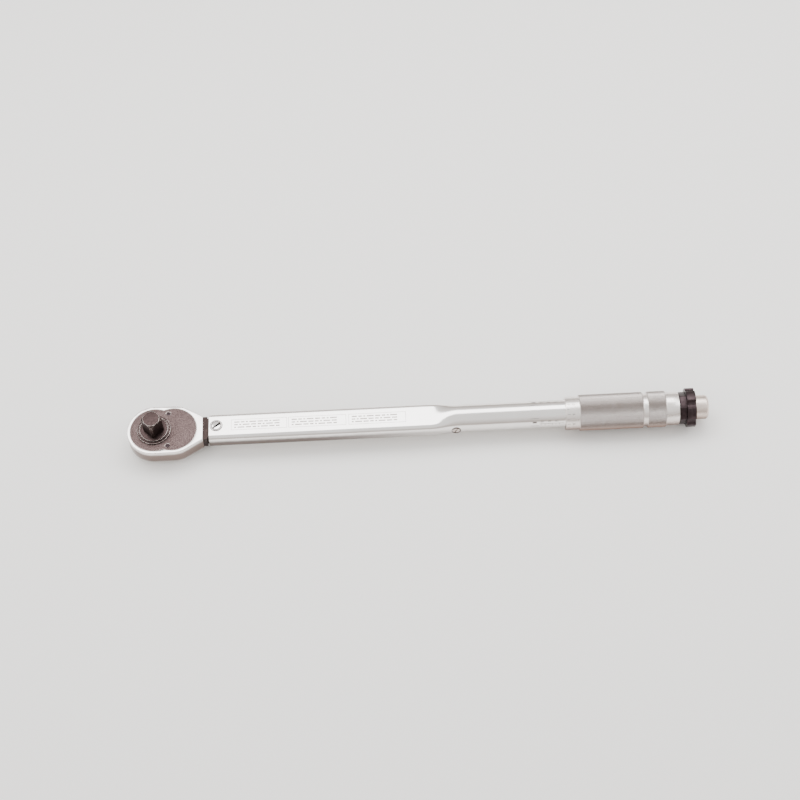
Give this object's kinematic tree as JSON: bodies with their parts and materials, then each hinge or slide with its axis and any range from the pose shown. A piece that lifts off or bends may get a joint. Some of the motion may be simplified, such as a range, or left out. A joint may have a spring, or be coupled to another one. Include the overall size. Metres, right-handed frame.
{
  "type": "torque wrench",
  "caption": "Micrometer click torque wrench: reversible ratchet head with a square drive, flattened steel tube, knurled setting grip and lobed lock wheel.",
  "frame": {"origin": "drive axis at the flat shoulder ring that a socket's mouth faces", "axes": "+Z out along the square drive, +X along the tube from the drive to the grip, +Y to the left of +X seen from the drive side"},
  "size_m": [0.4625, 0.043, 0.0375],
  "materials": {
    "head_chrome": "polished",
    "tube_chrome": "polished",
    "plate_dark": "phosphated",
    "drive_dark": "phosphated",
    "grip_chrome": "satin, knurled",
    "lock_black": "satin",
    "cap_satin": "satin",
    "steel": "ground",
    "black_steel": "black oxide",
    "spring_steel": "oil tempered",
    "ball_steel": "polished"
  },
  "bodies": {
    "housing": {"tube": "tube_chrome", "pivot_screw": "head_chrome", "calibration_screw": "black_steel", "adjuster_nut": "steel", "nut_screws": "black_steel"},
    "head": {"ratchet_head": "head_chrome", "cover_plate": "plate_dark", "cover_screws": "black_steel", "pawl_pin": "steel"},
    "drive": {"drive_gear": "drive_dark", "detent_spring": "spring_steel"},
    "drive_ball": {"detent_ball": "ball_steel"},
    "lever": {"reversing_lever": "black_steel", "lever_clip": "black_steel", "plunger_spring": "spring_steel"},
    "pawl_push": {"pawl_plunger": "steel"},
    "pawl_rocker": {"pawl": "steel"},
    "thrust": {"thrust_plunger": "steel"},
    "tilt": {"tilt_block": "steel"},
    "seat": {"spring_seat": "steel", "thrust_ball": "ball_steel", "main_spring": "spring_steel"},
    "handle": {"grip": "grip_chrome", "adjusting_screw": "steel", "end_bush": "steel"},
    "cone": {"lock_cone": "steel"},
    "lock_knob": {"lock_wheel": "lock_black", "lock_spindle": "steel", "end_cap": "cap_satin"},
    "lock_ball_a": {"lock_ball_1": "ball_steel"},
    "lock_ball_b": {"lock_ball_2": "ball_steel"},
    "lock_ball_c": {"lock_ball_3": "ball_steel"}
  },
  "joints": [
    {"name": "head_click", "type": "hinge", "parent": "housing", "child": "head", "pos_m": [0.0497, 0, -0.006], "axis": [0, 0, -1], "range_deg": [0, 0.7314], "stiffness_Nm_per_rad": 30, "springref_deg": -1.72, "deforming": ["main_spring"]},
    {"name": "thrust_slide", "type": "slide", "parent": "housing", "child": "thrust", "axis": [1, 0, 0], "range_m": [0, 0.0022], "deforming": ["main_spring"]},
    {"name": "block_tilt", "type": "hinge", "parent": "thrust", "child": "tilt", "pos_m": [0.2522, -0.0035, -0.006], "axis": [0, 0, 1], "range_deg": [0, 18]},
    {"name": "drive_turn", "type": "hinge", "parent": "head", "child": "drive", "pos_m": [0, 0, 0], "axis": [0, 0, 1], "continuous": true},
    {"name": "ball_press", "type": "slide", "parent": "drive", "child": "drive_ball", "axis": [-0.7071, -0.7071, 0], "range_m": [0, 0.0008], "stiffness_N_per_m": 800, "deforming": ["detent_spring"]},
    {"name": "lever_flip", "type": "hinge", "parent": "head", "child": "lever", "pos_m": [0.0276, 0, -0.0165], "axis": [0, 0, 1], "range_deg": [-25, 25]},
    {"name": "pawl_rock", "type": "hinge", "parent": "head", "child": "pawl_rocker", "pos_m": [0.0205, 0, -0.011], "axis": [0, 0, -1], "range_deg": [-5.8, 5.8]},
    {"name": "plunger_press", "type": "slide", "parent": "lever", "child": "pawl_push", "axis": [1, 0, 0], "range_m": [0, 0.0005], "stiffness_N_per_m": 400, "deforming": ["plunger_spring"]},
    {"name": "seat_slide", "type": "slide", "parent": "housing", "child": "seat", "axis": [-1, 0, 0], "range_m": [-0.006, 0.018], "deforming": ["main_spring"]},
    {"name": "grip_turn", "type": "hinge", "parent": "seat", "child": "handle", "pos_m": [0.327, 0, -0.006], "axis": [-1, 0, 0], "range_deg": [-1440, 4320]},
    {"name": "cone_slide", "type": "slide", "parent": "handle", "child": "cone", "axis": [-1, 0, 0], "range_m": [0, 0.0005001]},
    {"name": "lock_turn", "type": "hinge", "parent": "cone", "child": "lock_knob", "pos_m": [0.423, 0, -0.006], "axis": [-1, 0, 0], "range_deg": [0, 180]},
    {"name": "lock_ball_a_slide", "type": "slide", "parent": "handle", "child": "lock_ball_a", "axis": [0, 0, -1], "range_m": [0, 0.0002901]},
    {"name": "lock_ball_b_slide", "type": "slide", "parent": "handle", "child": "lock_ball_b", "axis": [0, 0.866, 0.5], "range_m": [0, 0.0002901]},
    {"name": "lock_ball_c_slide", "type": "slide", "parent": "handle", "child": "lock_ball_c", "axis": [0, -0.866, 0.5], "range_m": [0, 0.0002901]}
  ],
  "couplings": [
    {"joint": "thrust_slide", "follows": "head_click", "m_per_rad": 0.17228},
    {"joint": "block_tilt", "follows": "head_click", "ratio": 24.611},
    {"joint": "pawl_rock", "follows": "lever_flip", "ratio": 0.232},
    {"joint": "seat_slide", "follows": "grip_turn", "m_per_rad": 0.00023873},
    {"joint": "cone_slide", "follows": "lock_turn", "m_per_rad": 0.00015915},
    {"joint": "lock_ball_a_slide", "follows": "lock_turn", "m_per_rad": 0.00009231},
    {"joint": "lock_ball_b_slide", "follows": "lock_turn", "m_per_rad": 0.00009231},
    {"joint": "lock_ball_c_slide", "follows": "lock_turn", "m_per_rad": 0.00009231}
  ]
}
